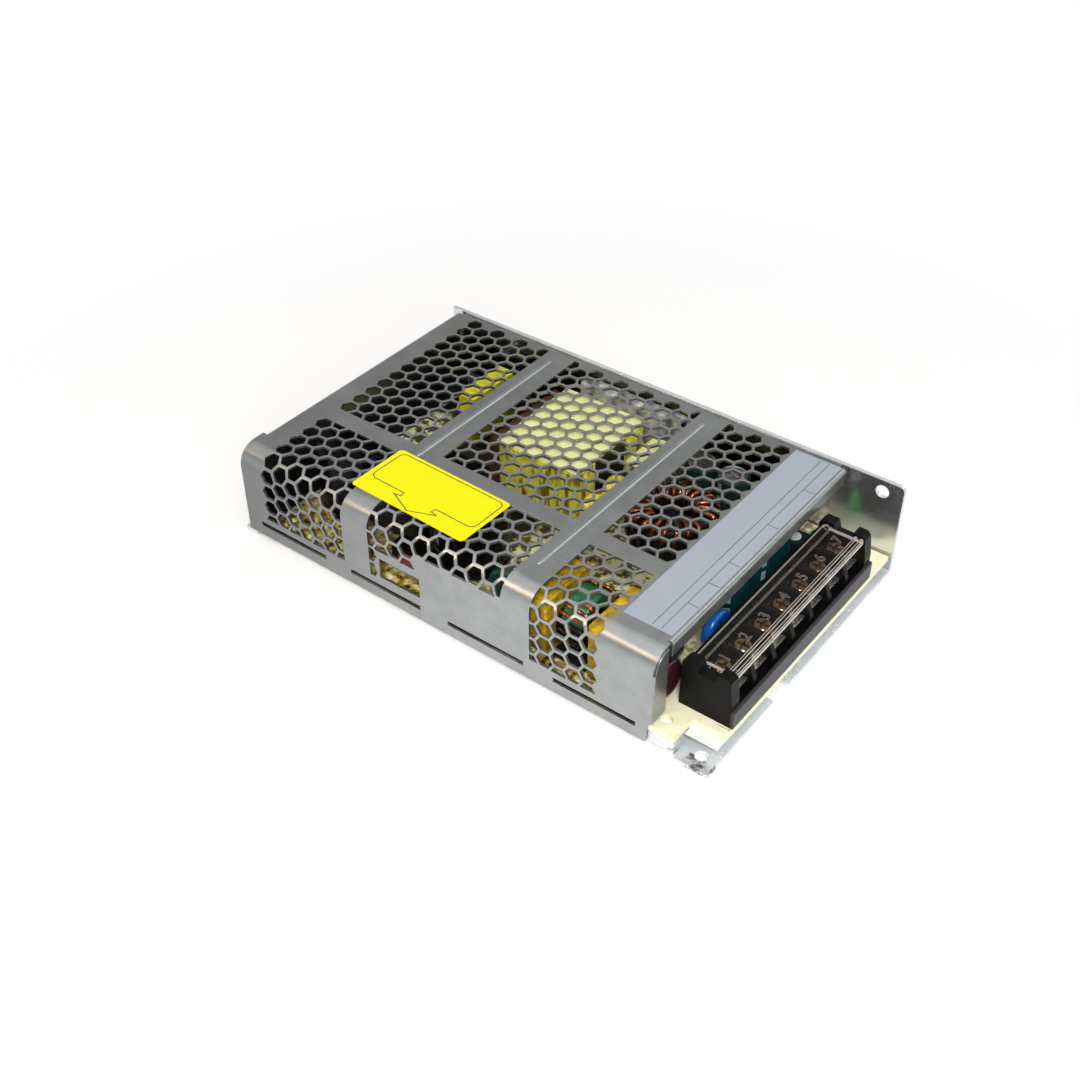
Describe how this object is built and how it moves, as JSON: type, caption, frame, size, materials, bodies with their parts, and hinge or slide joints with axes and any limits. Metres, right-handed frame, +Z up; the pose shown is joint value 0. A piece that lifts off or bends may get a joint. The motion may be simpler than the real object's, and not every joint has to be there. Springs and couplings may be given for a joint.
{
  "type": "power supply",
  "caption": "Slim enclosed switching power supply: folded chassis, perforated folded cover with hexagon vents, front terminal block with hinged clear lid, voltage selector window.",
  "frame": {"origin": "middle of the underside of the base plate, at the centre of the object's box", "axes": "+X towards the terminal block, +Y towards the tall chassis wall, +Z up"},
  "size_m": [0.159, 0.097, 0.03],
  "materials": {
    "chassis_sheet": "satin",
    "cover_sheet": "matt",
    "label_film": "matt",
    "sticker_yellow": "matt",
    "sheet_milky": "satin",
    "film_black": "satin",
    "board": "satin",
    "zinc_steel": "satin",
    "terminal_black": "satin",
    "lid_clear": "gloss",
    "tinned": "satin",
    "screw_brass": "satin",
    "fuse_maroon": "gloss",
    "disc_maroon": "gloss",
    "disc_teal": "gloss",
    "disc_blue": "gloss",
    "box_orange": "satin",
    "box_yellow": "satin",
    "dip_yellow": "gloss",
    "core_green": "satin",
    "copper_wire": "enamelled",
    "plastic_black": "satin",
    "sleeve_dark": "gloss",
    "sleeve_teal": "gloss",
    "slider_red": "satin",
    "ferrite": "matt",
    "bobbin_brown": "satin",
    "tape_yellow": "gloss",
    "core_olive": "satin",
    "pad_white": "matt",
    "trim_blue": "satin",
    "trim_white": "satin",
    "led_green": "gloss",
    "coupler_white": "satin"
  },
  "bodies": {
    "case": {"chassis": "chassis_sheet", "cover": "cover_sheet", "front_label": "label_film", "selector_sticker": "sticker_yellow", "insulating_sheet": "sheet_milky", "side_insulator": "film_black", "circuit_board": "board", "board_standoffs": "zinc_steel", "board_screws": "zinc_steel", "cover_side_screws": "zinc_steel", "cover_rear_screws": "zinc_steel", "terminal_body": "terminal_black", "terminal_plates": "tinned", "terminal_clamps": "tinned", "terminal_screws": "screw_brass", "fuse_clips": "tinned", "fuse": "fuse_maroon", "varistor": "disc_maroon", "thermistor": "disc_teal", "x_capacitor_rear": "box_orange", "x_capacitor_front": "box_orange", "y_capacitor_input": "disc_blue", "y_capacitor_output": "disc_blue", "line_choke_core": "core_green", "line_choke_windings": "copper_wire", "line_choke_base": "plastic_black", "bridge_rectifier": "plastic_black", "bulk_capacitor_rear": "sleeve_dark", "bulk_capacitor_front": "sleeve_dark", "selector_body": "plastic_black", "film_capacitor": "box_yellow", "transformer_core": "ferrite", "transformer_bobbin": "bobbin_brown", "transformer_winding": "tape_yellow", "output_choke_core": "core_olive", "output_choke_winding": "copper_wire", "output_choke_base": "plastic_black", "filter_capacitor_rear": "sleeve_teal", "filter_capacitor_front": "sleeve_teal", "output_capacitor_1": "sleeve_teal", "output_capacitor_2": "sleeve_teal", "output_capacitor_3": "sleeve_teal", "package_clamp": "zinc_steel", "clamp_screws": "zinc_steel", "insulator_pads": "pad_white", "switching_transistor": "plastic_black", "output_rectifier_1": "plastic_black", "output_rectifier_2": "plastic_black", "trimmer_body": "trim_blue", "status_led": "led_green", "control_chip": "plastic_black", "optocoupler": "coupler_white", "auxiliary_core": "ferrite", "auxiliary_coil": "tape_yellow", "dipped_capacitors": "dip_yellow"},
    "lid": {"terminal_lid": "lid_clear"},
    "slider": {"selector_slider": "slider_red"},
    "rotor": {"trimmer_rotor": "trim_white"}
  },
  "joints": [
    {"name": "lid_hinge", "type": "hinge", "parent": "case", "child": "lid", "pos_m": [0.0654, 0, 0.0201], "axis": [0, -1, 0], "range_deg": [0, 95]},
    {"name": "selector_slide", "type": "slide", "parent": "case", "child": "slider", "axis": [1, 0, 0], "range_m": [0, 0.004]},
    {"name": "trimmer_turn", "type": "hinge", "parent": "case", "child": "rotor", "pos_m": [0.0574, 0.0299, 0.0141], "axis": [0, 0, 1], "range_deg": [-120, 120]}
  ]
}
